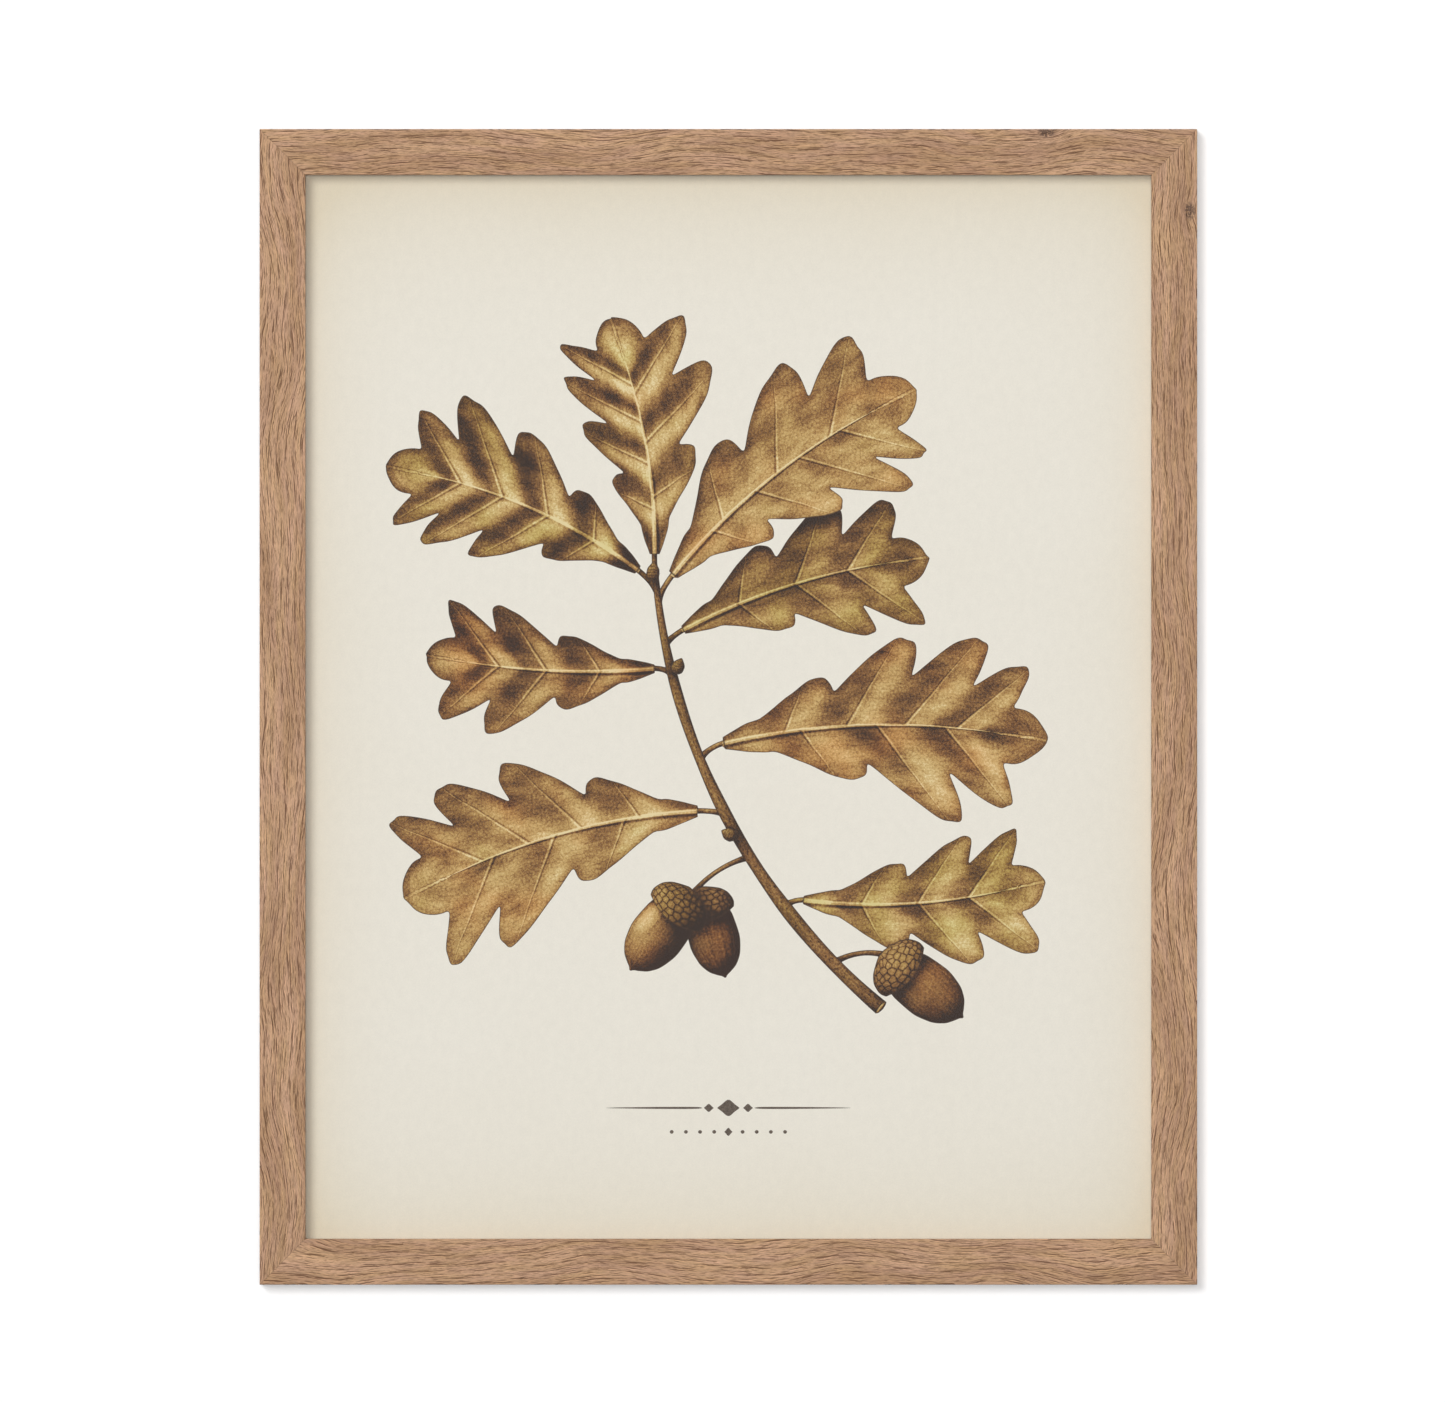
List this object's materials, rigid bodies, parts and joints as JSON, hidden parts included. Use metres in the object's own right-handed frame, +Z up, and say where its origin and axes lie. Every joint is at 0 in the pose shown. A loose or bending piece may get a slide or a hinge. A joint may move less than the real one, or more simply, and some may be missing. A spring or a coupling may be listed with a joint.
{
  "type": "framed print",
  "caption": "Upright oak picture frame with mitred corners, glass over a botanical paper print, and a backing board held by swivel clips, hung by a sawtooth plate.",
  "frame": {"origin": "the hanger's middle notch, where a nail in the wall carries the frame, in the plane of the wall", "axes": "+X to the right and +Z up as the print is seen, +Y into the wall, so the picture faces -Y"},
  "size_m": [0.43, 0.0245, 0.53],
  "materials": {
    "oak": "sanded oak veneer with a clear matt oil",
    "glass": "clear float glass",
    "print_paper": "uncoated cream paper, printed",
    "fibreboard": "smooth brown fibreboard",
    "spring_steel": "zinc-plated spring steel",
    "rivet_steel": "plated steel",
    "corner_steel": "bare strip steel",
    "brassed_steel": "brass-plated steel",
    "felt": "pressed felt"
  },
  "bodies": {
    "frame": {"rail_left": "oak", "rail_top": "oak", "rail_right": "oak", "rail_bottom": "oak", "corner_nail_bottom_left": "corner_steel", "corner_nail_top_left": "corner_steel", "corner_nail_top_right": "corner_steel", "corner_nail_bottom_right": "corner_steel", "glazing": "glass", "print": "print_paper", "backing_board": "fibreboard", "rivet_left_1": "rivet_steel", "rivet_left_2": "rivet_steel", "rivet_top_1": "rivet_steel", "rivet_top_2": "rivet_steel", "rivet_right_1": "rivet_steel", "rivet_right_2": "rivet_steel", "rivet_bottom_1": "rivet_steel", "rivet_bottom_2": "rivet_steel", "hanger": "brassed_steel", "hanger_nail_left": "brassed_steel", "hanger_nail_right": "brassed_steel", "wall_pad_left": "felt", "wall_pad_right": "felt"},
    "clip_left_1": {"clip_left_1": "spring_steel"},
    "clip_left_2": {"clip_left_2": "spring_steel"},
    "clip_top_1": {"clip_top_1": "spring_steel"},
    "clip_top_2": {"clip_top_2": "spring_steel"},
    "clip_right_1": {"clip_right_1": "spring_steel"},
    "clip_right_2": {"clip_right_2": "spring_steel"},
    "clip_bottom_1": {"clip_bottom_1": "spring_steel"},
    "clip_bottom_2": {"clip_bottom_2": "spring_steel"}
  },
  "joints": [
    {"name": "clip_left_1_turn", "type": "hinge", "parent": "frame", "child": "clip_left_1", "pos_m": [-0.185, -0.01405, -0.3865], "axis": [0, 1, 0], "range_deg": [-90, 90]},
    {"name": "clip_left_2_turn", "type": "hinge", "parent": "frame", "child": "clip_left_2", "pos_m": [-0.185, -0.01405, -0.1215], "axis": [0, 1, 0], "range_deg": [-90, 90]},
    {"name": "clip_top_1_turn", "type": "hinge", "parent": "frame", "child": "clip_top_1", "pos_m": [-0.1075, -0.01405, -0.019], "axis": [0, 1, 0], "range_deg": [-90, 90]},
    {"name": "clip_top_2_turn", "type": "hinge", "parent": "frame", "child": "clip_top_2", "pos_m": [0.1075, -0.01405, -0.019], "axis": [0, 1, 0], "range_deg": [-90, 90]},
    {"name": "clip_right_1_turn", "type": "hinge", "parent": "frame", "child": "clip_right_1", "pos_m": [0.185, -0.01405, -0.1215], "axis": [0, 1, 0], "range_deg": [-90, 90]},
    {"name": "clip_right_2_turn", "type": "hinge", "parent": "frame", "child": "clip_right_2", "pos_m": [0.185, -0.01405, -0.3865], "axis": [0, 1, 0], "range_deg": [-90, 90]},
    {"name": "clip_bottom_1_turn", "type": "hinge", "parent": "frame", "child": "clip_bottom_1", "pos_m": [0.1075, -0.01405, -0.489], "axis": [0, 1, 0], "range_deg": [-90, 90]},
    {"name": "clip_bottom_2_turn", "type": "hinge", "parent": "frame", "child": "clip_bottom_2", "pos_m": [-0.1075, -0.01405, -0.489], "axis": [0, 1, 0], "range_deg": [-90, 90]}
  ]
}
